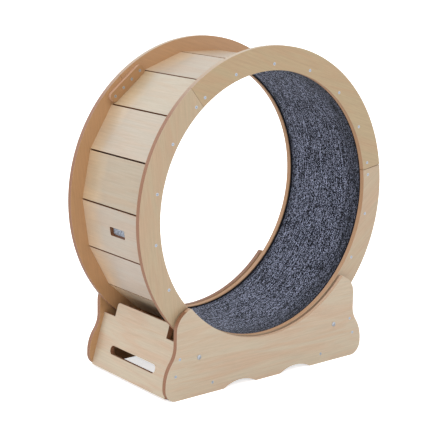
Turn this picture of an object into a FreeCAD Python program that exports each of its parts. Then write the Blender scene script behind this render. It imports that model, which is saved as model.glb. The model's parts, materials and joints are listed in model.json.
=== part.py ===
import FreeCAD
import Part

import math
import os
import re
import Sketcher

# A cat exercise wheel: a plywood running wheel with a carpet track, carried by four
# grooved rollers between the side panels of a low plywood base.
# Millimetres. The floor is z = 0, the wheel turns about Y, and X points along the run.

# ---------------------------------------------------------------- driving dimensions

DRIVING = [
    # the two side rings, each cut in equal segments
    ("ring_outer_radius", 450),
    ("ring_band", 69),
    ("ring_thickness", 15),
    ("track_width", 315),
    ("segment_count", 3),
    ("seam_angle", 9),
    ("seam_gap", 0.4),
    # the slats between the rings
    ("slats_per_segment", 6),
    ("slat_thickness", 12),
    ("slat_setback", 12),
    ("slat_gap", 0.6),
    ("window_length", 70),
    ("window_height", 26),
    ("window_corner", 5),
    # the least flat that is left between two round corners
    ("corner_flat", 0.5),
    # the carpet on the slats' inner faces
    ("carpet_thickness", 8.5),
    ("carpet_clearance", 0.3),
    ("carpet_side_gap", 0.8),
    # the splice plates over the ring seams
    ("plate_length", 138),
    ("plate_width", 30),
    ("plate_thickness", 12),
    ("plate_corner", 12),
    ("plate_clearance", 0.5),
    ("plate_screw_pitch", 36),
    # countersunk wood screws
    ("screw_head_radius", 4.5),
    ("screw_shank_radius", 2),
    ("screw_point", 3),
    ("countersink_angle", 90),
    ("screw_clearance", 0.1),
    ("ring_screw_length", 45),
    ("plate_screw_length", 24),
    ("panel_screw_length", 50),
    ("seam_screw_offset", 18.8),
    # the wheel in the base
    ("floor_gap", 60),
    ("ring_side_gap", 6.5),
    # the side panels of the base
    ("panel_thickness", 15),
    ("cradle_margin", 1),
    ("tip_angle", 49),
    ("tip_slope", 30),
    ("tip_length", 21),
    ("tip_round", 6),
    ("shoulder_radius", 60),
    ("waist_length", 40),
    ("bulge_swell", 36.5),
    ("bulge_height", 46),
    ("waist_share", 0.41),
    ("foot_corner", 38),
    ("arch_reach", 106),
    ("arch_width", 118),
    ("arch_height", 16),
    ("arch_round", 10),
    # the sloped end panels
    ("foot_inset", 7.5),
    ("foot_lift", 8.7),
    ("end_slope", 16.5),
    ("shoulder_height", 158.5),
    ("tongue_height", 42),
    ("tongue_width", 248),
    ("tongue_corner", 9),
    ("handle_length", 218),
    ("handle_height", 26),
    ("handle_corner", 12),
    ("handle_rise", 64),
    ("end_screw_low", 68.5),
    ("end_screw_high", 117.5),
    # the low rails between the side panels
    ("rail_reach", 208),
    ("rail_rise", 29),
    ("rail_width", 20),
    ("rail_height", 40),
    # the rollers
    ("roller_angle", 33),
    ("roller_radius", 23),
    ("roller_clearance", 0.3),
    ("groove_clearance", 0.6),
    ("groove_flare", 1.2),
    ("flange_thickness", 3.4),
    ("flange_height", 4.5),
    ("flange_chamfer", 1.5),
    ("hub_radius", 17),
    ("hub_shoulder_radius", 9),
    ("seat_clearance", 0.05),
    ("bearing_radius", 11),
    ("bearing_width", 7),
    # the roller axles
    ("axle_radius", 4),
    ("axle_clearance", 0.05),
    ("axle_end_play", 0.1),
    ("bolt_head_radius", 7),
    ("bolt_head_height", 4),
    ("bolt_head_rim", 1),
    ("socket_width", 5),
    ("socket_depth", 2.5),
    ("bolt_tail", 1),
    ("spacer_radius", 6),
    ("nut_width", 13),
    ("nut_height", 6.5),
]

# Sizes that follow from the ones above, as formulas of the sheet.
DERIVED = [
    ("ring_inner_radius", "ring_outer_radius - ring_band"),
    ("ring_middle", "track_width / 2 + ring_thickness / 2"),
    ("ring_outer_face", "track_width / 2 + ring_thickness"),
    ("panel_inner_face", "ring_outer_face + ring_side_gap"),
    ("panel_outer_face", "panel_inner_face + panel_thickness"),
    ("axle_height", "floor_gap + ring_outer_radius"),
    ("slat_pitch", "360 / (slats_per_segment * segment_count)"),
    ("slat_inner", "ring_inner_radius + slat_setback"),
    ("slat_outer", "slat_inner + slat_thickness"),
    ("slat_middle", "slat_inner + slat_thickness / 2"),
    ("slat_half", "slat_inner * tan(slat_pitch / 2) - slat_gap / 2"),
    ("segment_half_angle", "180 / segment_count - seam_gap / slat_middle * 90 / pi"),
    ("carpet_outer", "slat_inner - carpet_clearance"),
    ("carpet_inner", "carpet_outer - carpet_thickness"),
    ("plate_middle", "slat_outer + plate_clearance + plate_width / 2"),
    ("plate_rounding", "min(plate_corner; plate_width / 2 - corner_flat)"),
    ("window_rounding", "min(window_corner; window_height / 2 - corner_flat)"),
    ("handle_rounding", "min(handle_corner; handle_height / 2 - corner_flat)"),
    ("foot_rounding", "min(foot_corner; bulge_height - corner_flat)"),
    ("pilot_radius", "screw_shank_radius + screw_clearance"),
    ("screw_head_depth", "(screw_head_radius - screw_shank_radius) / tan(countersink_angle / 2)"),
    # the tip of a side panel lies on the cradle arc, and the shoulder hangs from the tip
    ("cradle_radius", "ring_inner_radius + cradle_margin"),
    ("tip_reach", "cradle_radius * sin(tip_angle)"),
    ("tip_height", "axle_height - cradle_radius * cos(tip_angle)"),
    ("shoulder_reach", "tip_reach + tip_length * cos(tip_slope)"),
    ("shoulder_top", "tip_height - tip_length * sin(tip_slope)"),
    ("waist_reach", "shoulder_reach + shoulder_radius * (1 - sin(tip_slope))"),
    ("waist_top", "shoulder_top - shoulder_radius * cos(tip_slope)"),
    ("waist_low", "waist_top - waist_length"),
    # below the waist two tangent arcs swell out to the bulge, where their common slope
    # is set by the half angle whose tangent is the swell over the drop
    ("bulge_reach", "waist_reach + bulge_swell"),
    ("swell_tangent", "bulge_swell / (waist_low - bulge_height)"),
    ("swell_sine", "2 * swell_tangent / (1 + swell_tangent * swell_tangent)"),
    ("swell_rise", "swell_sine * swell_tangent"),
    ("swell_radius", "(waist_low - bulge_height) / swell_sine"),
    ("waist_radius", "waist_share * swell_radius"),
    ("bulge_radius", "swell_radius - waist_radius"),
    ("inflection_reach", "waist_reach + waist_radius * swell_rise"),
    ("inflection_height", "waist_low - waist_radius * swell_sine"),
    ("arch_radius", "(arch_width * arch_width / 4 + arch_height * arch_height) / (2 * arch_height)"),
    ("foot_reach", "bulge_reach - foot_inset"),
    # the roller axle stands one roller radius outside the ring
    ("axle_distance", "ring_outer_radius + roller_clearance + roller_radius"),
    ("roller_reach", "axle_distance * sin(roller_angle)"),
    ("roller_height", "axle_height - axle_distance * cos(roller_angle)"),
    ("groove_half", "ring_thickness / 2 + groove_clearance"),
    ("roller_half", "groove_half + groove_flare + flange_thickness"),
    ("flange_radius", "roller_radius + flange_height"),
    ("panel_depth", "panel_inner_face - ring_middle"),
    ("bolt_seat", "panel_outer_face - ring_middle"),
    ("nut_seat", "bearing_width / 2 + axle_end_play"),
]

V = FreeCAD.Vector
UP = V(0, 0, 1)
ACROSS = V(0, 1, 0)

doc = FreeCAD.newDocument("CatWheel")
sheet = doc.addObject("Spreadsheet::Sheet", "Sizes")
ALIASES = [name for name, content in DRIVING + DERIVED]


def linked(formula):
    """The formula with each size's name turned into a reference to the sheet."""
    return re.sub(
        r"[a-z_]+",
        lambda word: "Sizes." + word.group() if word.group() in ALIASES else word.group(),
        formula,
    )


def value(formula):
    return float(sheet.evalExpression(linked(formula)))


for row, (alias, content) in enumerate(DRIVING + DERIVED, start=1):
    sheet.set("A%d" % row, alias)
    formula = "=" + content if isinstance(content, str) else str(content)
    sheet.set("B%d" % row, formula)
    sheet.setAlias("B%d" % row, alias)
doc.recompute()

SEGMENTS = round(value("segment_count"))
SLATS = SEGMENTS * round(value("slats_per_segment"))
# places of a splice plate's four screws, in screw pitches from the seam
PLATE_SCREWS = (-1.5, -0.5, 0.5, 1.5)
# two points closer than this are the same
NEAR = 0.01

# ---------------------------------------------------------------- sketching helpers

NODES = []


def new_body(label, kept=True):
    body = doc.addObject("PartDesign::Body", label)
    body.Label = label
    if kept:
        NODES.append(body)
    return body


def origin_plane(body, role):
    return next(plane for plane in body.Origin.OriginFeatures if plane.Role == role)


def new_sketch(body, name, role, offset=None):
    """A sketch on one of the body's own planes, moved along the plane's normal by offset."""
    sketch = body.newObject("Sketcher::SketchObject", name)
    sketch.AttachmentSupport = [(origin_plane(body, role), "")]
    sketch.MapMode = "FlatFace"
    if offset:
        sketch.setExpression("AttachmentOffset.Base.z", linked(offset))
    return sketch


def fix(sketch, kind, geometry, position, formula):
    """One dimension of the sketch, bound to its formula."""
    if position:
        constraint = Sketcher.Constraint(kind, geometry, position, value(formula))
    else:
        constraint = Sketcher.Constraint(kind, geometry, value(formula))
    index = sketch.addConstraint(constraint)
    sketch.setExpression("Constraints[%d]" % index, linked(formula))


def arc_between(start, end, radius, turns_left):
    """The short arc from start to end with its centre on the left or right of the way."""
    chord = end - start
    middle = start + chord * 0.5
    height = math.sqrt(max(0.0, radius * radius - chord.Length * chord.Length / 4))
    left = V(-chord.y, chord.x, 0).normalize()
    centre = middle + left * (height if turns_left else -height)
    circle = Part.Circle(centre, UP, radius)
    first, last = (start, end) if turns_left else (end, start)
    begin = math.atan2(first.y - centre.y, first.x - centre.x)
    finish = math.atan2(last.y - centre.y, last.x - centre.x)
    if finish < begin:
        finish += 2 * math.pi
    return Part.ArcOfCircle(circle, begin, finish)


def draw_outline(sketch, steps):
    """A closed outline. A step (x, y) is a line to that point, and a step
    (x, y, radius, "left" or "right") an arc to it that turns that way."""
    points = [V(value(step[0]), value(step[1]), 0) for step in steps]
    first = sketch.GeometryCount
    starts, ends = [], []
    for index, step in enumerate(steps):
        start, end = points[index - 1], points[index]
        backwards = len(step) == 4 and step[3] == "right"
        if len(step) == 2:
            sketch.addGeometry(Part.LineSegment(start, end))
        else:
            sketch.addGeometry(arc_between(start, end, value(step[2]), not backwards))
        starts.append(2 if backwards else 1)
        ends.append(1 if backwards else 2)
    for index, step in enumerate(steps):
        before = first + (index - 1) % len(steps)
        joint = (before, ends[index - 1], first + index, starts[index])
        sketch.addConstraint(Sketcher.Constraint("Coincident", *joint))
        fix(sketch, "DistanceX", first + index, ends[index], step[0])
        fix(sketch, "DistanceY", first + index, ends[index], step[1])
        if len(step) == 4:
            fix(sketch, "Radius", first + index, None, step[2])


def draw_circle(sketch, x, y, radius):
    centre = V(value(x), value(y), 0)
    index = sketch.addGeometry(Part.Circle(centre, UP, value(radius)))
    fix(sketch, "DistanceX", index, 3, x)
    fix(sketch, "DistanceY", index, 3, y)
    fix(sketch, "Radius", index, None, radius)


def rectangle(left, bottom, right, top):
    return [(left, bottom), (right, bottom), (right, top), (left, top)]


def rounded_rectangle(x, y, width, height, radius):
    """Steps of a rectangle about (x, y) with round corners."""
    left, right = f"{x} - {width} / 2", f"{x} + {width} / 2"
    low, high = f"{y} - {height} / 2", f"{y} + {height} / 2"
    return [
        (f"{right} - {radius}", low),
        (right, f"{low} + {radius}", radius, "left"),
        (right, f"{high} - {radius}"),
        (f"{right} - {radius}", high, radius, "left"),
        (f"{left} + {radius}", high),
        (left, f"{high} - {radius}", radius, "left"),
        (left, f"{low} + {radius}"),
        (f"{left} + {radius}", low, radius, "left"),
    ]


# ---------------------------------------------------------------- feature helpers


def pad(body, sketch, length, side="One side", flip=False):
    feature = body.newObject("PartDesign::Pad", sketch.Name + "Pad")
    feature.Profile = sketch
    feature.SideType = side
    feature.Reversed = flip
    feature.setExpression("Length", linked(length))
    return feature


def pocket(body, sketch, length=None, flip=False):
    """A pocket of the given depth, or right through where no depth is given."""
    feature = body.newObject("PartDesign::Pocket", sketch.Name + "Pocket")
    feature.Profile = sketch
    feature.Reversed = flip
    if length:
        feature.setExpression("Length", linked(length))
    else:
        feature.Type = "ThroughAll"
    return feature


def mirror(body, feature, role):
    copy = body.newObject("PartDesign::Mirrored", feature.Name + "Mirrored")
    copy.Originals = [feature]
    copy.MirrorPlane = (origin_plane(body, role), [""])
    body.Tip = copy
    return copy


def screw_holes(body, sketch):
    """Countersunk through holes, with the heads' side on the sketch."""
    doc.recompute()
    hole = body.newObject("PartDesign::Hole", sketch.Name + "Hole")
    hole.Profile = sketch
    hole.ThreadType = "None"
    hole.DepthType = "ThroughAll"
    hole.HoleCutType = "Countersink"
    hole.HoleCutCustomValues = True
    hole.setExpression("HoleCutCountersinkAngle", linked("countersink_angle"))
    hole.setExpression("Diameter", linked("2 * pilot_radius"))
    hole.setExpression("HoleCutDiameter", linked("2 * (screw_head_radius + screw_clearance)"))
    return hole


def revolve(body, name, steps):
    """A turned piece about Y, from an outline of radius and place along the axis."""
    sketch = new_sketch(body, name, "XY_Plane")
    draw_outline(sketch, steps)
    feature = body.newObject("PartDesign::Revolution", name + "Turned")
    feature.Profile = sketch
    feature.ReferenceAxis = (sketch, ["V_Axis"])
    feature.Angle = 360
    return feature


def round_edges(body, name, places, radius):
    """Fillets on the edges that run along Y at the given (x, z) places."""
    doc.recompute()
    spots = [V(value(x), 0, value(z)) for x, z in places]
    base = body.Tip
    chosen = []
    for number, edge in enumerate(base.Shape.Edges, start=1):
        ends = [V(vertex.X, 0, vertex.Z) for vertex in edge.Vertexes]
        if any(all(end.distanceToPoint(spot) < NEAR for end in ends) for spot in spots):
            chosen.append("Edge%d" % number)
    fillet = body.newObject("PartDesign::Fillet", name)
    fillet.Base = (base, chosen)
    fillet.setExpression("Radius", linked(radius))
    return fillet


def place(piece, x="0", y="0", z="0", turn=0.0, about=V(0, -1, 0), flip=False):
    """The piece turned about its own axis, and by half a turn about Z for the far side."""
    rotation = FreeCAD.Rotation(about, turn)
    if flip:
        rotation = rotation.multiply(FreeCAD.Rotation(UP, 180))
    piece.Placement = FreeCAD.Placement(V(value(x), value(y), value(z)), rotation)
    for axis, formula in (("x", x), ("y", y), ("z", z)):
        piece.setExpression("Placement.Base." + axis, linked(formula))


def group(label, pattern, placements):
    """Identical small pieces as separate solids of one node."""
    doc.recompute()
    node = doc.addObject("Part::Feature", label)
    node.Label = label
    copies = []
    for placement in placements:
        copy = pattern.Shape.copy()
        copy.Placement = placement
        copies.append(copy)
    node.Shape = Part.makeCompound(copies)
    NODES.append(node)


# ---------------------------------------------------------------- the wheel


def ring_point(angle, radius="slat_middle"):
    """Formulas of a point on the wheel, at an angle above the +X side."""
    return f"{radius} * cos({angle})", f"{radius} * sin({angle})"


def ring_segment(label, turn, far_side):
    """A third of a side ring, drawn about the +X side, with its outer face at the front."""
    body = new_body(label)
    sketch = new_sketch(body, label + "_outline", "XZ_Plane")
    low = ring_point("-segment_half_angle", "ring_inner_radius")
    high = ring_point("segment_half_angle", "ring_inner_radius")
    outer_low = ring_point("-segment_half_angle", "ring_outer_radius")
    outer_high = ring_point("segment_half_angle", "ring_outer_radius")
    outline = [
        outer_low,
        (*outer_high, "ring_outer_radius", "left"),
        high,
        (*low, "ring_inner_radius", "right"),
    ]
    draw_outline(sketch, outline)
    pad(body, sketch, "ring_thickness")

    # one screw into the middle of each slat, and one each side of the seams
    screws = new_sketch(body, label + "_screws", "XZ_Plane", "ring_thickness")
    for x, y in segment_screws():
        draw_circle(screws, x, y, "pilot_radius")
    screw_holes(body, screws)

    # blind holes for the splice plates' screws, on the track side
    blind = new_sketch(body, label + "_blind", "XZ_Plane")
    for side in (-1, 1):
        for share in PLATE_SCREWS:
            if share * side < 0:
                x, y = seam_frame(f"{share} * plate_screw_pitch", side)
                draw_circle(blind, x, y, "pilot_radius")
    pocket(body, blind, "plate_screw_length - plate_thickness + screw_clearance", flip=True)
    inner_face = "track_width / 2" if far_side else "-track_width / 2"
    place(body, y=inner_face, z="axle_height", turn=turn, flip=far_side)


def segment_screws():
    """Screw places of one ring segment, drawn about the +X side."""
    half = "180 / segment_count"
    spots = []
    for step in range(1, round(value("slats_per_segment"))):
        spots.append(ring_point(f"({step} * slat_pitch - {half})"))
    for side in (-1, 1):
        middle_x, middle_y = ring_point(f"({side} * {half})")
        along_x = f"seam_screw_offset * sin({half})"
        along_y = f"{side} * seam_screw_offset * cos({half})"
        spots.append((f"{middle_x} + {along_x}", f"{middle_y} - {along_y}"))
    return spots


def seam_frame(along, side):
    """A splice screw's place on the segment whose seam lies half a segment to that side."""
    angle = f"({side} * 180 / segment_count)"
    x = f"plate_middle * cos{angle} - ({along}) * sin{angle}"
    y = f"plate_middle * sin{angle} + ({along}) * cos{angle}"
    return x, y


def slat(label, turn, at_seam, windowed):
    """A board of the track, drawn flat over the +X side of the wheel."""
    body = new_body(label)
    section = new_sketch(body, label + "_section", "XZ_Plane")
    draw_outline(section, rectangle("slat_inner", "-slat_half", "slat_outer", "slat_half"))
    pad(body, section, "track_width", side="Symmetric")
    ends = new_sketch(body, label + "_ends", "XZ_Plane", "track_width / 2")
    offsets = ("-seam_screw_offset", "seam_screw_offset") if at_seam else ("0",)
    for offset in offsets:
        draw_circle(ends, "slat_middle", offset, "pilot_radius")
    doc.recompute()
    drilled = pocket(body, ends, "ring_screw_length - ring_thickness + screw_clearance")
    mirror(body, drilled, "XZ_Plane")
    if windowed:
        window = new_sketch(body, label + "_window", "YZ_Plane")
        hole = ("0", "0", "window_length", "window_height", "window_rounding")
        draw_outline(window, rounded_rectangle(*hole))
        pocket(body, window, flip=True)
    place(body, z="axle_height", turn=turn)


def splice_plate(label, turn, far_side):
    """A bar across a ring seam, on the track side of the ring and outside the slats."""
    body = new_body(label)
    sketch = new_sketch(body, label + "_outline", "XZ_Plane")
    bar = ("plate_middle", "0", "plate_width", "plate_length", "plate_rounding")
    draw_outline(sketch, rounded_rectangle(*bar))
    pad(body, sketch, "plate_thickness")
    screws = new_sketch(body, label + "_screws", "XZ_Plane", "plate_thickness")
    for share in PLATE_SCREWS:
        draw_circle(screws, "plate_middle", f"{share} * plate_screw_pitch", "pilot_radius")
    screw_holes(body, screws)
    inner_face = "track_width / 2" if far_side else "-track_width / 2"
    place(body, y=inner_face, z="axle_height", turn=turn, flip=not far_side)


def carpet_track():
    """The carpet strip, closed to a ring where its ends meet."""
    body = new_body("carpet_track")
    half = "(track_width / 2 - carpet_side_gap)"
    revolve(body, "carpet_section",
            rectangle("carpet_inner", "-" + half, "carpet_outer", half))
    place(body, z="axle_height")


def screw_pattern(name, length):
    """A countersunk screw along +Y, its head flush with y = 0."""
    body = new_body(name, kept=False)
    outline = [
        ("0", "0"),
        ("screw_head_radius", "0"),
        ("screw_shank_radius", "screw_head_depth"),
        ("screw_shank_radius", f"{length} - screw_point"),
        ("0", length),
    ]
    revolve(body, name + "_section", outline)
    return body


def screw_at(x, y, z, inward):
    """Placement of a screw whose head is at the point and which runs to +Y or -Y."""
    turned = FreeCAD.Rotation(UP, 0 if inward > 0 else 180)
    return FreeCAD.Placement(V(x, y, z), turned)


def wheel():
    seam_step = 360 / SEGMENTS
    pitch = value("slat_pitch")
    seam = value("seam_angle")
    for index in range(SEGMENTS):
        middle = seam + seam_step * (index + 0.5)
        ring_segment("ring_front_segment_%d" % (index + 1), middle, False)
        ring_segment("ring_rear_segment_%d" % (index + 1), middle - 180, True)
        seam_place = seam + seam_step * index
        splice_plate("splice_plate_front_%d" % (index + 1), seam_place - 180, False)
        splice_plate("splice_plate_rear_%d" % (index + 1), seam_place, True)
    for index in range(SLATS):
        at_seam = index % (SLATS // SEGMENTS) == 0
        windowed = index == SLATS // 2
        slat("slat_%02d" % (index + 1), seam + pitch * index, at_seam, windowed)
    carpet_track()
    wheel_screws(seam, pitch, seam_step)


def wheel_screws(seam, pitch, seam_step):
    """Screws through the rings into the slats, and through the splice plates."""
    ring_pattern = screw_pattern("ring_screw", "ring_screw_length")
    plate_pattern = screw_pattern("plate_screw", "plate_screw_length")
    for side, name in ((-1, "front"), (1, "rear")):
        spots = []
        for index in range(SLATS):
            at_seam = index % (SLATS // SEGMENTS) == 0
            offset = value("seam_screw_offset")
            offsets = (-offset, offset) if at_seam else (0,)
            spots += [wheel_spot("slat_middle", seam + pitch * index, along) for along in offsets]
        face = side * value("ring_outer_face")
        group("ring_screws_" + name, ring_pattern,
              [screw_at(x, face, z, -side) for x, z in spots])
        spots = []
        for index in range(SEGMENTS):
            for share in PLATE_SCREWS:
                along = share * value("plate_screw_pitch")
                spots.append(wheel_spot("plate_middle", seam + seam_step * index, along))
        face = side * value("track_width / 2 - plate_thickness")
        group("splice_screws_" + name, plate_pattern,
              [screw_at(x, face, z, side) for x, z in spots])


def wheel_spot(distance, angle, along):
    """A point at a distance from the wheel's axis, moved along the tangent there."""
    out, turn = value(distance), math.radians(angle)
    x = out * math.cos(turn) - along * math.sin(turn)
    z = out * math.sin(turn) + along * math.cos(turn)
    return x, z + value("axle_height")


# ---------------------------------------------------------------- the base


def end_screw_spots():
    """Screws of an end panel as (reach, height) on the side panels."""
    spots = []
    for rise in ("end_screw_low", "end_screw_high"):
        reach = f"foot_reach - {rise} * sin(end_slope) - panel_thickness / 2 * cos(end_slope)"
        height = f"foot_lift + {rise} * cos(end_slope) - panel_thickness / 2 * sin(end_slope)"
        spots.append((reach, height))
    return spots


def panel_screw_spots():
    """All screws of a side panel as (x, z), end panels and rails, on both halves."""
    spots = end_screw_spots() + [("rail_reach", "rail_rise")]
    return spots + [(f"-({reach})", height) for reach, height in spots]


def side_panel(label, far_side):
    """A side of the base, with its outer face at the front."""
    body = new_body(label)
    sketch = new_sketch(body, label + "_outline", "XZ_Plane")
    low_right = [
        ("arch_reach + arch_width / 2", "0"),
        ("bulge_reach - foot_rounding", "0"),
        ("bulge_reach", "foot_rounding", "foot_rounding", "left"),
        ("bulge_reach", "bulge_height"),
        ("inflection_reach", "inflection_height", "bulge_radius", "left"),
        ("waist_reach", "waist_low", "waist_radius", "right"),
        ("waist_reach", "waist_top"),
        ("shoulder_reach", "shoulder_top", "shoulder_radius", "left"),
        ("tip_reach", "tip_height"),
    ]
    low_left = [
        ("-tip_reach", "tip_height", "cradle_radius", "right"),
        ("-shoulder_reach", "shoulder_top"),
        ("-waist_reach", "waist_top", "shoulder_radius", "left"),
        ("-waist_reach", "waist_low"),
        ("-inflection_reach", "inflection_height", "waist_radius", "right"),
        ("-bulge_reach", "bulge_height", "bulge_radius", "left"),
        ("-bulge_reach", "foot_rounding"),
        ("-bulge_reach + foot_rounding", "0", "foot_rounding", "left"),
        ("-arch_reach - arch_width / 2", "0"),
        ("-arch_reach + arch_width / 2", "0", "arch_radius", "right"),
        ("arch_reach - arch_width / 2", "0"),
    ]
    start = ("arch_reach + arch_width / 2", "0", "arch_radius", "right")
    draw_outline(sketch, [start] + low_right[1:] + low_left)
    pad(body, sketch, "panel_thickness")
    tips = [("tip_reach", "tip_height"), ("-tip_reach", "tip_height")]
    round_edges(body, label + "_tips", tips, "tip_round")
    arch_ends = [
        (f"{side} * (arch_reach + {end} * arch_width / 2)", "0")
        for side in (-1, 1)
        for end in (-1, 1)
    ]
    round_edges(body, label + "_arch_ends", arch_ends, "arch_round")

    screws = new_sketch(body, label + "_screws", "XZ_Plane", "panel_thickness")
    for x, z in panel_screw_spots():
        draw_circle(screws, x, z, "pilot_radius")
    screw_holes(body, screws)
    axles = new_sketch(body, label + "_axles", "XZ_Plane", "panel_thickness")
    for side in (-1, 1):
        draw_circle(axles, f"{side} * roller_reach", "roller_height", "axle_radius + axle_clearance")
    pocket(body, axles)
    place(body, y="panel_inner_face" if far_side else "-panel_inner_face", flip=far_side)


def end_panel(label, left_side):
    """A sloped end of the base: shoulders, a tongue between the rings and a hand slot.
    Drawn upright with its outer face on the YZ plane, then leant over the wheel."""
    body = new_body(label)
    sketch = new_sketch(body, label + "_outline", "YZ_Plane")
    half, tongue, top = "panel_inner_face", "tongue_width / 2", "shoulder_height + tongue_height"
    outline = [
        (half, "0"),
        (half, "shoulder_height"),
        (tongue, "shoulder_height"),
        (tongue, f"{top} - tongue_corner"),
        (f"{tongue} - tongue_corner", top, "tongue_corner", "left"),
        (f"-{tongue} + tongue_corner", top),
        (f"-{tongue}", f"{top} - tongue_corner", "tongue_corner", "left"),
        (f"-{tongue}", "shoulder_height"),
        (f"-{half}", "shoulder_height"),
        (f"-{half}", "0"),
    ]
    draw_outline(sketch, outline)
    slot = ("0", "handle_rise", "handle_length", "handle_height", "handle_rounding")
    draw_outline(sketch, rounded_rectangle(*slot))
    pad(body, sketch, "panel_thickness", flip=True)
    pilots = new_sketch(body, label + "_pilots", "XZ_Plane", "panel_inner_face")
    for rise in ("end_screw_low", "end_screw_high"):
        draw_circle(pilots, "-panel_thickness / 2", rise, "pilot_radius")
    drilled = pocket(body, pilots, "panel_screw_length - panel_thickness + screw_clearance")
    mirror(body, drilled, "XZ_Plane")
    foot = "-foot_reach" if left_side else "foot_reach"
    lean = value("end_slope") * (1 if left_side else -1)
    place(body, x=foot, z="foot_lift", turn=lean, about=ACROSS, flip=left_side)


def cross_rail(label, reach):
    """A low bar that ties the side panels together."""
    body = new_body(label)
    sketch = new_sketch(body, label + "_section", "XZ_Plane")
    half_width, half_height = "rail_width / 2", "rail_height / 2"
    draw_outline(sketch, rectangle("-" + half_width, "-" + half_height, half_width, half_height))
    pad(body, sketch, "2 * panel_inner_face", side="Symmetric")
    pilots = new_sketch(body, label + "_pilots", "XZ_Plane", "panel_inner_face")
    draw_circle(pilots, "0", "0", "pilot_radius")
    drilled = pocket(body, pilots, "panel_screw_length - panel_thickness + screw_clearance")
    mirror(body, drilled, "XZ_Plane")
    place(body, x=reach, z="rail_rise")


def base():
    side_panel("side_panel_front", False)
    side_panel("side_panel_rear", True)
    end_panel("end_panel_left", True)
    end_panel("end_panel_right", False)
    cross_rail("cross_rail_left", "-rail_reach")
    cross_rail("cross_rail_right", "rail_reach")
    pattern = screw_pattern("panel_screw", "panel_screw_length")
    spots = [(value(x), value(z)) for x, z in panel_screw_spots()]
    face = value("panel_outer_face")
    placements = [screw_at(x, -face, z, 1) for x, z in spots]
    placements += [screw_at(x, face, z, -1) for x, z in spots]
    group("panel_screws", pattern, placements)


# ---------------------------------------------------------------- rollers and axles
# Drawn about the Y axis with the ring's middle at y = 0 and the side panel at -Y.


def mirrored_section(half):
    """The half outline, given from -Y, followed by its mirror image at +Y."""
    return half + [(x, f"-({y})") for x, y in reversed(half)]


def roller(name, x, far_side):
    tyre = new_body(f"roller_{name}_tyre")
    tyre_half = [
        ("hub_radius + seat_clearance", "-roller_half"),
        ("flange_radius - flange_chamfer", "-roller_half"),
        ("flange_radius", "-roller_half + flange_chamfer"),
        ("flange_radius", "-groove_half - groove_flare"),
        ("roller_radius", "-groove_half"),
    ]
    revolve(tyre, f"tyre_{name}_section", mirrored_section(tyre_half))

    # the hub holds the bearing against a shoulder on the panel's side
    hub = new_body(f"roller_{name}_hub")
    seat = "bearing_radius + seat_clearance"
    hub_outline = [
        ("hub_shoulder_radius", "-roller_half"),
        ("hub_radius", "-roller_half"),
        ("hub_radius", "roller_half"),
        (seat, "roller_half"),
        (seat, "-bearing_width / 2"),
        ("hub_shoulder_radius", "-bearing_width / 2"),
    ]
    revolve(hub, f"hub_{name}_section", hub_outline)

    bearing = new_body(f"roller_{name}_bearing")
    race = rectangle("axle_radius + axle_clearance", "-bearing_width / 2",
                     "bearing_radius", "bearing_width / 2")
    revolve(bearing, f"bearing_{name}_section", race)
    y = "ring_middle" if far_side else "-ring_middle"
    for piece in (tyre, hub, bearing):
        place(piece, x=x, y=y, z="roller_height", flip=far_side)


def hexagon(width):
    """Corners of a hexagon about the origin, across its flats."""
    radius = f"{width} / 2 / cos(30)"
    return [(f"{radius} * cos({60 * k})", f"{radius} * sin({60 * k})") for k in range(6)]


def bolt_pattern():
    """A button head bolt through the panel, the spacer, the bearing and the nut."""
    body = new_body("axle_bolt", kept=False)
    top = "-bolt_seat - bolt_head_height"
    dome = "bolt_head_height - bolt_head_rim"
    dome_radius = f"(bolt_head_radius * bolt_head_radius + ({dome}) * ({dome})) / (2 * ({dome}))"
    outline = [
        ("0", top),
        ("bolt_head_radius", "-bolt_seat - bolt_head_rim", dome_radius, "left"),
        ("bolt_head_radius", "-bolt_seat"),
        ("axle_radius", "-bolt_seat"),
        ("axle_radius", "nut_seat + nut_height + bolt_tail"),
        ("0", "nut_seat + nut_height + bolt_tail"),
    ]
    revolve(body, "bolt_section", outline)
    socket = new_sketch(body, "bolt_socket", "XZ_Plane", "bolt_seat + bolt_head_height")
    draw_outline(socket, hexagon("socket_width"))
    pocket(body, socket, "socket_depth")
    return body


def spacer_pattern():
    body = new_body("axle_spacer", kept=False)
    bore = "axle_radius + axle_clearance"
    outline = rectangle(bore, "-panel_depth", "spacer_radius", "-nut_seat")
    revolve(body, "spacer_section", outline)
    return body


def nut_pattern():
    body = new_body("axle_nut", kept=False)
    sketch = new_sketch(body, "nut_outline", "XZ_Plane", "-nut_seat")
    draw_outline(sketch, hexagon("nut_width"))
    draw_circle(sketch, "0", "0", "axle_radius + axle_clearance")
    pad(body, sketch, "nut_height", flip=True)
    return body


def rollers():
    corners = []
    for side, name in ((-1, "front"), (1, "rear")):
        far_side = side > 0
        roller(name + "_left", "-roller_reach", far_side)
        roller(name + "_right", "roller_reach", far_side)
        turned = FreeCAD.Rotation(UP, 180 if far_side else 0)
        for reach in (-value("roller_reach"), value("roller_reach")):
            place_at = V(reach, side * value("ring_middle"), value("roller_height"))
            corners.append(FreeCAD.Placement(place_at, turned))
    group("axle_bolts", bolt_pattern(), corners)
    group("axle_spacers", spacer_pattern(), corners)
    group("axle_nuts", nut_pattern(), corners)


# ---------------------------------------------------------------- build and write

wheel()
base()
rollers()
doc.recompute()

for item in doc.Objects:
    if "Invalid" in item.State or "Error" in item.State:
        raise RuntimeError("%s is %s" % (item.Name, item.State))
for node in NODES:
    if node.Shape.isNull() or not node.Shape.isValid():
        raise RuntimeError("%s has no valid shape" % node.Label)

os.makedirs("parts", exist_ok=True)
for node in NODES:
    node.Shape.exportStep("parts/%s.step" % node.Label)
    print("%-28s %2d solid(s) %10.1f mm3" % (node.Label, len(node.Shape.Solids), node.Shape.Volume))
print(len(NODES), "nodes")
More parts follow.
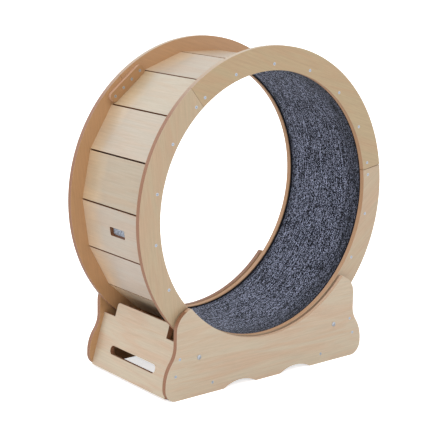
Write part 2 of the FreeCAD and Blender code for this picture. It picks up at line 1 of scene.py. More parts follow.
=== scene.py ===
# %% [markdown]
# # A plywood exercise wheel for cats
# The wheel is flat-packed furniture: birch boards, screws, a strip of carpet to run on
# and four small rollers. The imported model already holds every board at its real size.
# This lesson gives the boards what a camera sees: softened edges, grain that runs the
# right way, layered edges, a carpet with a pile, and screws with a recess in the head.

import json
import math
import random

import bpy
from mathutils import Matrix, Vector

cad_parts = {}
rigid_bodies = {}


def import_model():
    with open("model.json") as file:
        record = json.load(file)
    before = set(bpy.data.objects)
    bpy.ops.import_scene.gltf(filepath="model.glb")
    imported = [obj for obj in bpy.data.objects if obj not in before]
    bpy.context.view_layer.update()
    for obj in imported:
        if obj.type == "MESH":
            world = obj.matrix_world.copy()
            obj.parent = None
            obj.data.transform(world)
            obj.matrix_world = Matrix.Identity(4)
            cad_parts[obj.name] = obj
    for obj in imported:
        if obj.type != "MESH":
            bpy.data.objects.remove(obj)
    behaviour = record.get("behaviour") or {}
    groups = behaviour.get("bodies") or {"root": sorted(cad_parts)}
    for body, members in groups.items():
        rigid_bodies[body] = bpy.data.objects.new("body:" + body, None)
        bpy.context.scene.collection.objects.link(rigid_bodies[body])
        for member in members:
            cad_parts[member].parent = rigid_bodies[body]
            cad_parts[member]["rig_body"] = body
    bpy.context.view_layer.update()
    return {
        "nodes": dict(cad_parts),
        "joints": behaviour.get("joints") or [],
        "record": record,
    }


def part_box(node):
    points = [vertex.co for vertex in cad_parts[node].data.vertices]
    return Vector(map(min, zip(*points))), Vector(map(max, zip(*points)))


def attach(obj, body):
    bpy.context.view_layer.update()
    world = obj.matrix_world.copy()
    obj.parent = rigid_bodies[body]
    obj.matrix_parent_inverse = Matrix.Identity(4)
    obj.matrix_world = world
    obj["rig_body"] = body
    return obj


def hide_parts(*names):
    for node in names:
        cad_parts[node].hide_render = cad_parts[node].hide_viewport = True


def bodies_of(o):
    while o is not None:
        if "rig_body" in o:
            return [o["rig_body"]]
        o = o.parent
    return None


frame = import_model()
joints = {joint["name"]: joint for joint in frame["joints"]}
print("nodes:", len(frame["nodes"]))

# %% Read the main sizes from the frame
MM = 0.001
AXLE = Vector(joints["wheel_spin"]["pos_m"])
ACROSS = Vector((0, 1, 0))


def from_axle(point):
    """How far a point lies from the wheel's axis."""
    return math.hypot(point.x - AXLE.x, point.z - AXLE.z)


def reach_of(node):
    """The least and the greatest distance of a node's corners from the wheel's axis."""
    reach = [from_axle(vertex.co) for vertex in frame["nodes"][node].data.vertices]
    return min(reach), max(reach)


PILE_RADIUS, BACK_RADIUS = reach_of("carpet_track")
CARPET_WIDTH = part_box("carpet_track")[1].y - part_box("carpet_track")[0].y
LIP_RADIUS = reach_of("ring_front_segment_1")[0]
print("axle at", [round(c, 4) for c in AXLE], "lip of the rings at", round(LIP_RADIUS, 4))
print("carpet", round(CARPET_WIDTH, 4), "wide,", round(BACK_RADIUS - PILE_RADIUS, 4), "thick")

# %% [markdown]
# ## The camera
# The camera goes first, because every later choice is judged through it. Its place was
# found by matching the rims of both rings with the picture: they are circles of a known
# size, so the eight ends of their ellipses fix the distance, the angle and the lens.
# A long lens from almost four metres away keeps the two rings nearly alike.

# %% Camera
CAMERA_FROM_AXLE = Vector((-2.3863, -2.8671, 0.7982))
CAMERA_YAW, CAMERA_PITCH, CAMERA_ROLL = (math.radians(a) for a in (39.150, -13.039, 1.180))
FOCAL_PIXELS = 1298.75
FRAME_PIXELS = 430
HALF_PIXEL = 0.5 / FRAME_PIXELS
FAR = 100


def aim(yaw, pitch, roll):
    """A camera's turn as a matrix: yaw from +Y towards +X, pitch above the horizon."""
    ahead = Vector((math.sin(yaw), math.cos(yaw), 0))
    forward = ahead * math.cos(pitch) + Vector((0, 0, math.sin(pitch)))
    level = Vector((math.cos(yaw), -math.sin(yaw), 0))
    right = level * math.cos(roll) + level.cross(forward) * math.sin(roll)
    return Matrix((right, right.cross(forward), -forward)).transposed().to_4x4()


bpy.ops.object.camera_add()
camera = bpy.context.object
camera.name = "camera"
place = Matrix.Translation(AXLE + CAMERA_FROM_AXLE)
camera.matrix_world = place @ aim(CAMERA_YAW, CAMERA_PITCH, CAMERA_ROLL)
camera.data.lens = FOCAL_PIXELS / FRAME_PIXELS * camera.data.sensor_width
camera.data.shift_x = -HALF_PIXEL
camera.data.shift_y = HALF_PIXEL
camera.data.clip_end = FAR
bpy.context.scene.camera = camera
print("lens", round(camera.data.lens, 1), "mm")

# %% [markdown]
# ## The studio
# A product picture on white has no dark side: the floor and the walls send light back
# from everywhere. An even, white world gives that. One large soft box behind the wheel
# on the left puts a pale sheen on the lacquered slats, and a weak one in front keeps the
# carpet's pile readable. To the camera the floor also glows like a light table, so that
# it is as white as the wall even inside the base. That glow lights nothing else: it would
# brighten the dark gaps from below.
# The Standard view keeps the colours as they are mixed, so white stays white.

# %% Floor, world and soft boxes
scene = bpy.context.scene
scene.view_settings.view_transform = "Standard"
scene.view_settings.look = "None"
scene.world = bpy.data.worlds.new("studio")
scene.world.use_nodes = True
studio = scene.world.node_tree.nodes["Background"]
studio.inputs["Color"].default_value = (1.0, 1.0, 1.0, 1)
studio.inputs["Strength"].default_value = 1.0

FLOOR_SIZE = 80
FLOOR_WHITE = (0.92, 0.92, 0.92, 1)
FLOOR_ROUGHNESS = 0.9
FLOOR_GLOW = 0.7
bpy.ops.mesh.primitive_plane_add(size=FLOOR_SIZE, location=(0, 0, 0))
floor = bpy.context.object
floor.name = "floor"
floor_paint = bpy.data.materials.new("pale floor")
floor_paint.use_nodes = True
floor_finish = floor_paint.node_tree.nodes["Principled BSDF"]
floor_finish.inputs["Base Color"].default_value = FLOOR_WHITE
floor_finish.inputs["Roughness"].default_value = FLOOR_ROUGHNESS
seen = floor_paint.node_tree.nodes.new("ShaderNodeLightPath").outputs["Is Camera Ray"]
floor_paint.node_tree.links.new(seen, floor_finish.inputs["Emission Color"])
floor_finish.inputs["Emission Strength"].default_value = FLOOR_GLOW
floor.data.materials.append(floor_paint)


def soft_box(name, place, size, power, tint=(1, 1, 1)):
    """A square area light that looks at the middle of the wheel."""
    bpy.ops.object.light_add(type="AREA", location=place)
    light = bpy.context.object
    light.name = name
    light.data.size = size
    light.data.energy = power
    light.data.color = tint
    light.rotation_euler = (AXLE - light.location).to_track_quat("-Z", "Y").to_euler()
    print(name, "at", [round(c, 1) for c in light.location], power, "W")


DAYLIGHT = (0.84, 0.93, 1.0)
soft_box("sheen_box", place=(-1.3, 3.8, 3.0), size=4.0, power=66, tint=DAYLIGHT)
soft_box("front_box", place=(-2.6, -2.6, 3.0), size=2.4, power=16)

# %% [markdown]
# ## Tools for the bench
# Every operator acts on all that is selected, and a fresh import leaves everything
# selected. So one small function makes a single piece the selected and active one.
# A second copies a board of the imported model. Its triangles come loose, each with its
# own corners, so the copy is welded and its flat faces are joined before any shaping.
# A third selects by a test, because a click can't be written in a script.

# %% Take one piece, copy one board, pick by a test
WELD = 0.00001
FLAT = math.radians(0.5)


def take(piece):
    bpy.ops.object.select_all(action="DESELECT")
    piece.select_set(True)
    bpy.context.view_layer.objects.active = piece


def copy_of(node, name):
    """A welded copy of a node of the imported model, ready to be shaped by hand."""
    piece = bpy.data.objects.new(name, frame["nodes"][node].data.copy())
    piece.data.materials.clear()
    scene.collection.objects.link(piece)
    take(piece)
    bpy.ops.object.mode_set(mode="EDIT")
    bpy.ops.mesh.select_all(action="SELECT")
    bpy.ops.mesh.remove_doubles(threshold=WELD)
    bpy.ops.mesh.dissolve_limited(angle_limit=FLAT)
    bpy.ops.object.mode_set(mode="OBJECT")
    return piece


def pick(piece, wanted, kind="vertices"):
    """In edit mode, selects only the vertices, edges or faces that the test wants."""
    bpy.ops.mesh.select_all(action="DESELECT")
    bpy.ops.object.mode_set(mode="OBJECT")
    for item in getattr(piece.data, kind):
        item.select = wanted(item)
    bpy.ops.object.mode_set(mode="EDIT")


# %% [markdown]
# ## Open seams
# Each ring is three boards that meet end to end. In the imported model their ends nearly
# touch, and a camera would lose that hairline. Real joints open a little, and the one on
# the right of the front ring has opened most, so both ends of each board are drawn back.
# The ends are the only large faces that look along the rim.

# %% Draw back the ends of a ring board
SEAM_OPEN = 0.15 * MM
LOOSE_SEAM = math.radians(9)
LOOSE_OPEN = 0.6 * MM
NEAR_SEAM = math.radians(5)
END_AREA = 500 * MM * MM
SQUARE_ON = 0.99


def along_rim(point):
    """The direction along the rim at a point."""
    out = point - AXLE
    return Vector((-out.z, 0, out.x)).normalized()


def seam_opening(place):
    """How far the end of a board is drawn back at this place."""
    turn = math.atan2(place.z - AXLE.z, place.x - AXLE.x)
    loose = place.y < 0 and abs(turn - LOOSE_SEAM) < NEAR_SEAM
    return LOOSE_OPEN if loose else SEAM_OPEN


def is_end(face):
    return face.area > END_AREA and abs(face.normal.dot(along_rim(face.center))) > SQUARE_ON


def open_seams(piece):
    """Moves both ends of a ring board inwards. Returns how many ends it found."""
    ends = [
        (face.index, -face.normal * seam_opening(face.center))
        for face in piece.data.polygons
        if is_end(face)
    ]
    take(piece)
    bpy.ops.object.mode_set(mode="EDIT")
    bpy.ops.mesh.select_mode(type="FACE")
    for index, shift in ends:
        pick(piece, lambda face: face.index == index, "polygons")
        bpy.ops.transform.translate(value=shift)
    bpy.ops.object.mode_set(mode="OBJECT")
    return len(ends)


# %% [markdown]
# ## Softened boards
# A sawn board is never left sharp: a sander takes about a millimetre off its edges, and
# that narrow round is what catches the light. Bevelling all sharp edges would also round
# the cones under the screw heads, so only edges of more than 60 degrees are taken.
# Weighted normals then keep the broad faces flat beside their small rounds.

# %% Soften the edges of a board
SHARP = math.radians(60)
SMOOTH = math.radians(50)
ROUND_STEPS = 3


def soften(piece, radius):
    """Rounds the sharp edges of a board and keeps its broad faces flat."""
    take(piece)
    bpy.ops.object.mode_set(mode="EDIT")
    bpy.ops.mesh.select_mode(type="EDGE")
    bpy.ops.mesh.select_all(action="DESELECT")
    bpy.ops.mesh.edges_select_sharp(sharpness=SHARP)
    bpy.ops.mesh.bevel(
        offset=radius, segments=ROUND_STEPS, profile=0.5, affect="EDGES", clamp_overlap=True
    )
    bpy.ops.object.mode_set(mode="OBJECT")
    bpy.ops.object.shade_smooth_by_angle(angle=SMOOTH)
    bpy.ops.object.modifier_add(type="WEIGHTED_NORMAL")
    piece.modifiers[-1].keep_sharp = True
    bpy.ops.object.modifier_apply(modifier=piece.modifiers[-1].name)


# %% [markdown]
# ## Which way the grain runs
# Wood grain has a direction, and each board was cut from its sheet in another place.
# So every board carries its own map: for each point, how far it lies along the grain,
# across the grain, and how deep it is from the board's middle. The depth shows which
# layer of the plywood the point cuts, and it is positive towards the outside. The inner
# side is warmer and darker: partly its veneer's own colour, partly painted shade and warm
# bounce light. A random shift gives each board its own figure.

# %% Lay the grain map
luck = random.Random(18)
BOARD_MAP = "board_map"
BASE_MIDDLE = Vector((0, 0, AXLE.z / 4))
SHEET_SPREAD = 40
WHEEL_BOARDS = ("ring", "slat", "splice")


def lay_grain(piece, along):
    """Gives each point its place along, across and through the board. Returns the thickness."""
    mesh = piece.data
    broad = max(mesh.polygons, key=lambda face: face.area)
    out = broad.center - (AXLE if piece.name.startswith(WHEEL_BOARDS) else BASE_MIDDLE)
    through = broad.normal * (1 if broad.normal.dot(out) > 0 else -1)
    along = (along - through * along.dot(through)).normalized()
    across = through.cross(along)
    depths = [through.dot(vertex.co) for vertex in mesh.vertices]
    middle = (min(depths) + max(depths)) / 2
    start = Vector((luck.uniform(0, SHEET_SPREAD), luck.uniform(0, SHEET_SPREAD), 0))
    layer = mesh.attributes.new(BOARD_MAP, "FLOAT_VECTOR", "POINT")
    for vertex, depth in zip(mesh.vertices, depths):
        place = Vector((along.dot(vertex.co), across.dot(vertex.co), depth - middle))
        layer.data[vertex.index].vector = place + start
    return max(depths) - min(depths)


# %% [markdown]
# ## No two boards alike
# Boards from different sheets also differ in tone. A second attribute holds one number
# per board, from -1 for honey to 1 for chalk. It is chosen for the boards that face the
# camera and random for the rest.

# %% Lay the tone
TONE_MAP = "board_tone"
TONE_SPREAD = 0.4
tone_luck = random.Random(7)
TONES = {
    "ring_front_segment_1": -0.9, "ring_front_segment_2": 0.2, "ring_front_segment_3": 0.8,
    "slat_07": -0.7, "slat_08": 0.1, "slat_09": -0.2, "slat_10": 0.7, "slat_11": 1.1,
    "side_panel_front": 0.0, "end_panel_left": 0.0,
}


def lay_tone(piece, node):
    chance = tone_luck.uniform(-TONE_SPREAD, TONE_SPREAD)
    tone = TONES.get(node, chance)
    layer = piece.data.attributes.new(TONE_MAP, "FLOAT", "POINT")
    for item in layer.data:
        item.value = tone


print("boards with a chosen tone:", len(TONES))

# %% [markdown]
# ## Shader wiring
# Materials here are wired in code, so short functions keep that readable: one adds a
# node with its inputs, and the others are the few sums and blends that come up again and
# again. Colours are written as a painter would read them off a screen, and turned into
# the linear light that shaders work with.

# %% Wiring helpers
# Nearly all values of a noise lie between these.
MOST_NOISE = (0.3, 0.7)


def colour(red, green, blue):
    """A screen colour from 0 to 255 as linear light."""
    def linear(share):
        return share / 12.92 if share <= 0.04045 else ((share + 0.055) / 1.055) ** 2.4
    return (linear(red / 255), linear(green / 255), linear(blue / 255), 1)


def wire(tree, kind, inputs=None, **settings):
    """Adds a node; its inputs are values or other nodes' outputs, by name or number."""
    made = tree.nodes.new("ShaderNode" + kind)
    for key, value in settings.items():
        setattr(made, key, value)
    for key, value in (inputs or {}).items():
        if isinstance(value, bpy.types.NodeSocket):
            tree.links.new(value, made.inputs[key])
        else:
            made.inputs[key].default_value = value
    return made


def calc(tree, operation, *values):
    return wire(tree, "Math", dict(enumerate(values)), operation=operation).outputs[0]


def vector(tree, operation, *values):
    """The same sum on each part of a colour or a place."""
    return wire(tree, "VectorMath", dict(enumerate(values)), operation=operation).outputs[0]


def scaled(tree, value, factor):
    return wire(tree, "VectorMath", {0: value, 3: factor}, operation="SCALE").outputs[0]


def split(tree, place):
    return wire(tree, "SeparateXYZ", {0: place}).outputs


def carried(tree, name):
    """What a mesh carries in one of its maps."""
    return wire(tree, "Attribute", attribute_name=name).outputs["Vector"]


def noise(tree, place, scale, detail):
    inputs = {"Vector": place, "Scale": scale, "Detail": detail}
    return wire(tree, "TexNoise", inputs).outputs


def span(tree, value, low, high, to_low=0.0, to_high=1.0):
    """The value's place between low and high, held within the new range."""
    inputs = {"Value": value, 1: low, 2: high, 3: to_low, 4: to_high}
    return wire(tree, "MapRange", inputs, clamp=True).outputs[0]


def mix(tree, share, first, second):
    """Two colours blended by a share from 0 to 1."""
    inputs = {"Factor": share, 6: first, 7: second}
    return wire(tree, "Mix", inputs, data_type="RGBA").outputs[2]


def emboss(tree, shader, height, distance, strength):
    """A relief too fine for the mesh: it only turns the light."""
    relief = {"Height": height, "Distance": distance, "Strength": strength}
    tree.links.new(wire(tree, "Bump", relief).outputs[0], shader.inputs["Normal"])


def new_group(name, inputs, outputs):
    """A shader group with named sockets. Returns its tree, its inputs and its output node."""
    tree = bpy.data.node_groups.new(name, "ShaderNodeTree")
    for label, kind, value in inputs:
        socket = tree.interface.new_socket(label, in_out="INPUT", socket_type="NodeSocket" + kind)
        socket.default_value = value
    for label, kind in outputs:
        tree.interface.new_socket(label, in_out="OUTPUT", socket_type="NodeSocket" + kind)
    return tree, tree.nodes.new("NodeGroupInput").outputs, tree.nodes.new("NodeGroupOutput")


def use_group(tree, group, inputs):
    return wire(tree, "Group", inputs, node_tree=group).outputs


def new_finish(name):
    """A material with its Principled shader. Returns the material, its tree and the shader."""
    material = bpy.data.materials.new(name)
    material.use_nodes = True
    tree = material.node_tree
    return material, tree, tree.nodes["Principled BSDF"]


# %% [markdown]
# ## Birch veneer
# Rotary-cut birch is pale and quiet. Close up it shows three things at three sizes:
# broad tongues of slightly pinker wood, streaks a few millimetres wide, and fine fibres.
# Each is noise stretched along the grain. One group mixes them, and each board's
# material says how strongly.

# %% Shader group: birch grain
# For each: how many per metre along and across the grain, its detail and its distortion.
TONGUES = ((3.2, 26.0, 0.0), 3.0, 1.2)
STREAKS = ((9.0, 240.0, 0.0), 4.0, 0.3)
FIBRES = ((60.0, 1600.0, 0.0), 2.0, 0.0)
TONGUE_RANGE = (0.36, 0.66)
STREAK_SHARE = 0.6
FIBRE_SHARE = 0.4


def stretched_noise(tree, place, size, detail, distortion):
    moved = vector(tree, "MULTIPLY", place, size)
    inputs = {"Vector": moved, "Scale": 1.0, "Detail": detail, "Distortion": distortion}
    return wire(tree, "TexNoise", inputs, noise_dimensions="2D").outputs[0]


def birch_grain():
    tree, given, out = new_group(
        "birch grain",
        [("Place", "Vector", (0, 0, 0)), ("Figure", "Float", 1.0)],
        [("Tongues", "Float"), ("Streaks", "Float"), ("Height", "Float")],
    )
    tongues = stretched_noise(tree, given["Place"], *TONGUES)
    streaks = stretched_noise(tree, given["Place"], *STREAKS)
    fibres = stretched_noise(tree, given["Place"], *FIBRES)
    strong = calc(tree, "MULTIPLY", span(tree, tongues, *TONGUE_RANGE), given["Figure"])
    fine = calc(tree, "MULTIPLY", fibres, FIBRE_SHARE)
    both = calc(tree, "ADD", calc(tree, "MULTIPLY", streaks, STREAK_SHARE), fine)
    tree.links.new(strong, out.inputs["Tongues"])
    tree.links.new(span(tree, both, *MOST_NOISE), out.inputs["Streaks"])
    tree.links.new(both, out.inputs["Height"])
    return tree


GRAIN = birch_grain()
print("group:", GRAIN.name)

# %% [markdown]
# ## Plywood layers
# The edge of plywood is its signature: thin layers, glued with their grain crossed. Long
# grain looks pale, end grain drinks the lacquer and goes dark, and a glue line parts
# them. The board map's depth already says which layer a point is in, so counting is
# enough. The outermost half millimetre is face veneer and keeps the face's colour, and
# the glue right under it is the darkest line of all: a real glue line, and also painted
# shade for the narrow gap beside the ring, where that line shows.

# %% Shader group: plywood layers
VENEER = 0.6 * MM
VENEER_FADE = 0.7 * VENEER
GLUE_RANGE = (0.40, 0.48)


def ply_layers():
    """Says if a point is below the veneer, in an end grain layer, or in a line of glue."""
    tree, given, out = new_group(
        "plywood layers",
        [("Depth", "Float", 0.0), ("Thickness", "Float", 0.015), ("Layers", "Float", 9.0)],
        [("Core", "Float"), ("End grain", "Float"), ("Glue", "Float")],
    )
    half = calc(tree, "MULTIPLY", given["Thickness"], 0.5)
    skin = calc(tree, "SUBTRACT", half, calc(tree, "ABSOLUTE", given["Depth"]))
    core = span(tree, skin, VENEER_FADE, VENEER)
    share = calc(tree, "DIVIDE", calc(tree, "ADD", given["Depth"], half), given["Thickness"])
    count = calc(tree, "MULTIPLY", share, given["Layers"])
    odd = calc(tree, "MODULO", calc(tree, "FLOOR", count), 2.0)
    off_middle = calc(tree, "ABSOLUTE", calc(tree, "SUBTRACT", calc(tree, "FRACT", count), 0.5))
    tree.links.new(core, out.inputs["Core"])
    tree.links.new(odd, out.inputs["End grain"])
    # Partly painted shade: this line under the veneer also darkens the narrow gap beside the ring.
    under = span(tree, skin, VENEER, VENEER * 2, 1.0, 0.0)
    glue = calc(tree, "MAXIMUM", under, span(tree, off_middle, *GLUE_RANGE))
    tree.links.new(glue, out.inputs["Glue"])
    return tree


LAYERS = ply_layers()
print("group:", LAYERS.name)

# %% [markdown]
# ## The plywood finish
# One function makes all the plywood: it reads the board map, asks the two groups for
# grain and layers, and puts a satin lacquer over both. The lacquer's gloss is set on the
# shader itself, because it is the same all over. Only what changes over the wood, its
# colour, its roughness and its tiny relief, comes through the nodes. Sawn edges soak the
# lacquer up and get less of it.
# Edges aren't all alike either, and much of that is painted light. Those nearest to the
# axle, the lips of both rings and the front panel's cradle arc, are painted paler: a
# painted sheen, with warm bounce light on the lips. Along the arcs' inner corner runs a
# dark line of painted shade, the deep shade of the narrow gap beside the ring. The rings'
# edge is painted pale where it lies on top at rest, a painted sheen, and the slats have a
# cloudy, warmer patch of painted bounce light from the rear ring.

# %% Patches and edges
# Painted light: warm bounce light from the rear ring on the slats, in a cloudy patch.
BOUNCE_FROM = 0.2 * CARPET_WIDTH
BOUNCE_TO = 0.5 * CARPET_WIDTH
BOUNCE_CLOUD = 0.45 * CARPET_WIDTH
CLOUD_SCALE = 9.0
# Painted light: a sheen and warm bounce light on the edges nearest to the axle.
LIT_EDGE_REACH = LIP_RADIUS + 19 * MM
# Painted sheen on the rings' edge at the top of the wheel.
TOP_SHEEN = colour(200, 184, 162)
TOP_SHEEN_FROM = AXLE.z + 280 * MM
TOP_SHEEN_TO = AXLE.z + 430 * MM
TOP_SHEEN_SHARE = 0.85
GAP_SHADE = colour(112, 58, 26)
GAP_REACH = 3.5 * MM
GAP_FADE = 0.6 * GAP_REACH


def cloudy_ring_bounce(tree, place):
    """How much painted warm bounce light a slat gets from the rear ring, in an uneven line along it.
    """
    cloud = noise(tree, place, CLOUD_SCALE, 2.0)[0]
    drift = calc(tree, "MULTIPLY", calc(tree, "SUBTRACT", cloud, 0.5), BOUNCE_CLOUD)
    return span(tree, calc(tree, "ADD", split(tree, place)[1], drift), BOUNCE_FROM, BOUNCE_TO)


def near_axle(tree, place):
    """1 on the edges nearest to the axle, 0 elsewhere."""
    ends = {0: vector(tree, "MULTIPLY", place, (1, 0, 1)), 1: (AXLE.x, 0, AXLE.z)}
    reach = wire(tree, "VectorMath", ends, operation="DISTANCE").outputs[1]
    return calc(tree, "LESS_THAN", reach, LIT_EDGE_REACH)


def painted_light_edge(tree, place, edge, lit_edge):
    """Paints a sheen on an edge at the wheel's top, and sheen with warm bounce light near the axle.
    """
    top_sheen = span(tree, split(tree, place)[2], TOP_SHEEN_FROM, TOP_SHEEN_TO, 0.0, TOP_SHEEN_SHARE)
    edge = mix(tree, top_sheen, edge, TOP_SHEEN)
    return mix(tree, near_axle(tree, place), edge, lit_edge)


def arc_edge(tree, place, edge, lit_edge, from_inside):
    """Paints a pale sheen on the front panel's arc, and the gap's shade as a dark line on both arcs.
    """
    near = near_axle(tree, place)
    front = calc(tree, "LESS_THAN", split(tree, place)[1], 0.0)
    edge = mix(tree, calc(tree, "MULTIPLY", near, front), edge, lit_edge)
    line = span(tree, from_inside, GAP_FADE, GAP_REACH, 1.0, 0.0)
    return mix(tree, calc(tree, "MULTIPLY", near, line), edge, GAP_SHADE)


print("edges are paler within", round(LIT_EDGE_REACH, 3), "m of the axle")

# %% Plywood
GLUE = colour(80, 44, 30)
GLUE_SHARE = 0.5
STREAK_SHADE = (0.90, 1.06)
TONE_SWING = (0.06, 0.085, 0.18)
FACE_ROUGHNESS = (0.52, 0.42)
EDGE_ROUGHER = 0.15
COAT_FACE, COAT_EDGE = 0.6, 0.2
COAT_ROUGHNESS = 0.24


def plywood(name, thickness, layers, veneers, cores, figure=1.0, bounce=None, lit_edge=None, arc=False):
    material, tree, shader = new_finish(name)
    face, tongue, inside = veneers
    board = carried(tree, BOARD_MAP)
    tone = wire(tree, "Attribute", attribute_name=TONE_MAP).outputs["Fac"]
    place = wire(tree, "TexCoord").outputs["Object"]
    depth = split(tree, board)[2]
    grain = use_group(tree, GRAIN, {"Place": board, "Figure": figure})
    cut = use_group(tree, LAYERS, {"Depth": depth, "Thickness": thickness, "Layers": layers})
    veneer = mix(tree, grain["Tongues"], face, tongue)
    # Painted warm bounce light from the rear ring.
    if bounce:
        veneer = mix(tree, cloudy_ring_bounce(tree, place), veneer, bounce)
    # The inner side's veneer is partly painted shade and warm bounce light.
    veneer = mix(tree, calc(tree, "LESS_THAN", depth, 0.0), veneer, inside)
    veneer = scaled(tree, veneer, span(tree, grain["Streaks"], 0.0, 1.0, *STREAK_SHADE))
    tint = vector(tree, "MULTIPLY_ADD", tone, TONE_SWING, (1, 1, 1))
    veneer = vector(tree, "MULTIPLY", veneer, tint)
    edge = mix(tree, cut["End grain"], *cores)
    edge = mix(tree, calc(tree, "MULTIPLY", cut["Glue"], GLUE_SHARE), edge, GLUE)
    # Painted sheen and bounce light near the axle, and painted shade in the gap on the arcs.
    lit = mix(tree, cut["End grain"], *lit_edge) if lit_edge else edge
    if arc:
        edge = arc_edge(tree, place, edge, lit, calc(tree, "ADD", depth, thickness / 2))
    elif lit_edge:
        edge = painted_light_edge(tree, place, edge, lit)
    tree.links.new(mix(tree, cut["Core"], veneer, edge), shader.inputs["Base Color"])
    rough = span(tree, grain["Streaks"], 0.0, 1.0, *FACE_ROUGHNESS)
    rough = calc(tree, "ADD", rough, calc(tree, "MULTIPLY", cut["Core"], EDGE_ROUGHER))
    tree.links.new(rough, shader.inputs["Roughness"])
    coat = span(tree, cut["Core"], 0.0, 1.0, COAT_FACE, COAT_EDGE)
    tree.links.new(coat, shader.inputs["Coat Weight"])
    shader.inputs["Coat Roughness"].default_value = COAT_ROUGHNESS
    emboss(tree, shader, grain["Height"], 0.3 * MM, 0.35)
    return material


print("a plywood face has a roughness of", FACE_ROUGHNESS, "and a coat of", COAT_FACE)

# %% Mix the four kinds of plywood
BOARD, THIN_BOARD = 15 * MM, 12 * MM
BOARD_LAYERS, THIN_LAYERS = 9, 7
RED_CORE = (colour(168, 122, 90), colour(130, 84, 58))
# Painted light: edge colours near the axle, paler with a sheen, warmer with bounce light.
LIP_LIGHT_CORE = (colour(198, 153, 112), colour(170, 124, 86))
ARC_LIGHT_CORE = (colour(210, 176, 144), colour(186, 148, 116))
# The slats' edges are darker and redder: partly their own colour, partly painted shade for the gaps.
SLAT_CORE = (colour(150, 100, 62), colour(112, 70, 42))
PLATE_CORE = (colour(216, 178, 148), colour(196, 154, 122))
# Each kind's face veneer, its tongues, and its inner veneer, partly painted shade and bounce light.
RING_VENEERS = (colour(185, 163, 131), colour(187, 156, 124), colour(190, 147, 106))
SLAT_VENEERS = (colour(182, 167, 146), colour(184, 161, 136), colour(176, 141, 105))
PLATE_VENEERS = (colour(180, 134, 90), colour(172, 122, 80), colour(178, 134, 92))
BASE_VENEERS = (colour(199, 182, 157), colour(199, 172, 145), colour(194, 150, 106))
# Painted warm bounce light from the rear ring.
SLAT_RING_BOUNCE = colour(216, 188, 152)
FINISHES = {
    "ring_plywood": plywood(
        "ring plywood", BOARD, BOARD_LAYERS, RING_VENEERS, RED_CORE, figure=0.8, lit_edge=LIP_LIGHT_CORE
    ),
    "slat_plywood": plywood(
        "slat plywood", THIN_BOARD, THIN_LAYERS, SLAT_VENEERS, SLAT_CORE, figure=0.7, bounce=SLAT_RING_BOUNCE
    ),
    "plate_plywood": plywood(
        "plate plywood", THIN_BOARD, THIN_LAYERS, PLATE_VENEERS, PLATE_CORE, figure=0.8
    ),
    "base_plywood": plywood(
        "base plywood", BOARD, BOARD_LAYERS, BASE_VENEERS, RED_CORE, lit_edge=ARC_LIGHT_CORE, arc=True
    ),
}
print("finishes:", sorted(FINISHES))

# %% [markdown]
# ## Planed rails
# The two bars low in the base are solid wood, not plywood. They take the same birch
# grain without the layers, a little warmer.

# %% Rail wood
RAIL_STREAKS = 0.3
RAIL_ROUGHNESS = (0.6, 0.5)


def solid_wood(name, face, tongue):
    material, tree, shader = new_finish(name)
    grain = use_group(tree, GRAIN, {"Place": carried(tree, BOARD_MAP), "Figure": 1.0})
    wood = mix(tree, grain["Tongues"], face, tongue)
    wood = mix(tree, calc(tree, "MULTIPLY", grain["Streaks"], RAIL_STREAKS), wood, tongue)
    tree.links.new(wood, shader.inputs["Base Color"])
    rough = span(tree, grain["Streaks"], 0.0, 1.0, *RAIL_ROUGHNESS)
    tree.links.new(rough, shader.inputs["Roughness"])
    emboss(tree, shader, grain["Height"], 0.4 * MM, 0.4)
    return material


FINISHES["rail_wood"] = solid_wood("rail wood", colour(206, 176, 134), colour(190, 150, 108))
print("finishes:", len(FINISHES))

# %% [markdown]
# ## Dress the boards
# Now the rules meet. Ring segments are nested on the sheet with their length along the
# grain, so it follows their chord. Slats and end panels have it across the track, side
# panels along the run, and splice plates along their length. Each copy rides on the body
# of the board that it stands for.

# %% Boards of the wheel and the base
EDGE_ROUND = 1.2 * MM
OTHER_ROUNDS = {"ring": 1.0 * MM, "cross": 2 * MM}


def grain_direction(node):
    if node.startswith(("ring", "splice")):
        low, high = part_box(node)
        return along_rim((low + high) / 2)
    if node.startswith("side"):
        return Vector((1, 0, 0))
    return ACROSS


def dress_board(node, slot, body):
    """Puts a finished copy in the place of a packed board. Returns the board's thickness."""
    piece = copy_of(node, node + "_board")
    if node.startswith("ring"):
        print(node, "has", open_seams(piece), "open ends")
    soften(piece, OTHER_ROUNDS.get(node.split("_")[0], EDGE_ROUND))
    thickness = lay_grain(piece, grain_direction(node))
    lay_tone(piece, node)
    piece.data.materials.append(FINISHES[slot])
    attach(piece, body)
    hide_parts(node)
    return thickness


def nodes_with(*slots):
    """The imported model's nodes that have one of these material slots, in order of name."""
    return sorted(node for node in frame["nodes"] if slot_of[node] in slots)


slot_of = {part["node"]: part["material_slot"] for part in frame["record"]["subparts"]}
body_of = {node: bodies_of(piece)[0] for node, piece in frame["nodes"].items()}
for board in nodes_with(*FINISHES):
    thick = dress_board(board, slot_of[board], body_of[board])
    print(f"{board:24s} {thick / MM:5.1f} mm")

# %% [markdown]
# ## The carpet
# The running track is lined with one strip of needle carpet, glued to the slats. Its two
# ends meet in a butt joint, so it is modelled as the strip that it is: one section across
# the track, with rounded rims, spun about the axle until it almost meets its own start.
# A flat bar with a noise texture would look like painted card from the side, so the pile
# gets real relief: small lumps as wide as a tuft, pressed down from the full height.

# %% Section of the carpet
BUTT_JOINT = math.radians(149)
BUTT_GAP = 0.8 * MM
RIM_ROUND = 4 * MM
RIM_STEPS = 4
TUFT_STEPS = 96
CARPET_THICK = BACK_RADIUS - PILE_RADIUS
CARPET_MIDDLE = (PILE_RADIUS + BACK_RADIUS) / 2
GAP_TURN = BUTT_GAP / PILE_RADIUS
ON_PILE = PILE_RADIUS + 0.01 * MM


